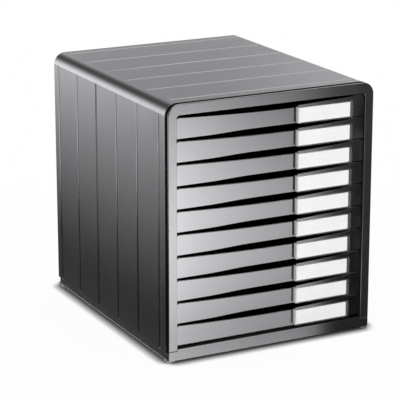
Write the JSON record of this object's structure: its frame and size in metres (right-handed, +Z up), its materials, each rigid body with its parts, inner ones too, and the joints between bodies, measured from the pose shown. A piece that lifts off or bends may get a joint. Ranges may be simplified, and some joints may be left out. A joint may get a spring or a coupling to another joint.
{
  "type": "desktop drawer unit",
  "caption": "Desktop drawer unit for A4 paper: a grooved one-piece casing with a front frame and base, and slim label-fronted drawers that slide out to a stop.",
  "frame": {"origin": "middle of the footprint on the surface the unit stands on", "axes": "+X to the unit's right seen from the front, -Y out of the front where the drawers slide, +Z up"},
  "size_m": [0.275, 0.33, 0.312],
  "materials": {
    "casing_plastic": "satin moulded black plastic with fine texture",
    "gloss_plastic": "gloss moulded black plastic",
    "drawer_plastic": "gloss moulded black plastic fronts, satin trays",
    "inner_plastic": "matt moulded black plastic",
    "window_clear": "clear polished plastic",
    "card_paper": "smooth white card",
    "foot_rubber": "soft pale grey rubber"
  },
  "bodies": {
    "housing": {"casing": "casing_plastic", "rear_panel": "casing_plastic", "front_frame": "gloss_plastic", "base": "gloss_plastic", "runner_panel_left": "inner_plastic", "runner_panel_right": "inner_plastic", "foot_front_left": "foot_rubber", "foot_front_right": "foot_rubber", "foot_rear_left": "foot_rubber", "foot_rear_right": "foot_rubber"},
    "drawer_01": {"drawer_01": "drawer_plastic", "label_window_01": "window_clear", "label_card_01": "card_paper"},
    "drawer_02": {"drawer_02": "drawer_plastic", "label_window_02": "window_clear", "label_card_02": "card_paper"},
    "drawer_03": {"drawer_03": "drawer_plastic", "label_window_03": "window_clear", "label_card_03": "card_paper"},
    "drawer_04": {"drawer_04": "drawer_plastic", "label_window_04": "window_clear", "label_card_04": "card_paper"},
    "drawer_05": {"drawer_05": "drawer_plastic", "label_window_05": "window_clear", "label_card_05": "card_paper"},
    "drawer_06": {"drawer_06": "drawer_plastic", "label_window_06": "window_clear", "label_card_06": "card_paper"},
    "drawer_07": {"drawer_07": "drawer_plastic", "label_window_07": "window_clear", "label_card_07": "card_paper"},
    "drawer_08": {"drawer_08": "drawer_plastic", "label_window_08": "window_clear", "label_card_08": "card_paper"},
    "drawer_09": {"drawer_09": "drawer_plastic", "label_window_09": "window_clear", "label_card_09": "card_paper"},
    "drawer_10": {"drawer_10": "drawer_plastic", "label_window_10": "window_clear", "label_card_10": "card_paper"}
  },
  "joints": [
    {"name": "drawer_01_slide", "type": "slide", "parent": "housing", "child": "drawer_01", "axis": [0, -1, 0], "range_m": [0, 0.245]},
    {"name": "drawer_02_slide", "type": "slide", "parent": "housing", "child": "drawer_02", "axis": [0, -1, 0], "range_m": [0, 0.245]},
    {"name": "drawer_03_slide", "type": "slide", "parent": "housing", "child": "drawer_03", "axis": [0, -1, 0], "range_m": [0, 0.245]},
    {"name": "drawer_04_slide", "type": "slide", "parent": "housing", "child": "drawer_04", "axis": [0, -1, 0], "range_m": [0, 0.245]},
    {"name": "drawer_05_slide", "type": "slide", "parent": "housing", "child": "drawer_05", "axis": [0, -1, 0], "range_m": [0, 0.245]},
    {"name": "drawer_06_slide", "type": "slide", "parent": "housing", "child": "drawer_06", "axis": [0, -1, 0], "range_m": [0, 0.245]},
    {"name": "drawer_07_slide", "type": "slide", "parent": "housing", "child": "drawer_07", "axis": [0, -1, 0], "range_m": [0, 0.245]},
    {"name": "drawer_08_slide", "type": "slide", "parent": "housing", "child": "drawer_08", "axis": [0, -1, 0], "range_m": [0, 0.245]},
    {"name": "drawer_09_slide", "type": "slide", "parent": "housing", "child": "drawer_09", "axis": [0, -1, 0], "range_m": [0, 0.245]},
    {"name": "drawer_10_slide", "type": "slide", "parent": "housing", "child": "drawer_10", "axis": [0, -1, 0], "range_m": [0, 0.245]}
  ]
}
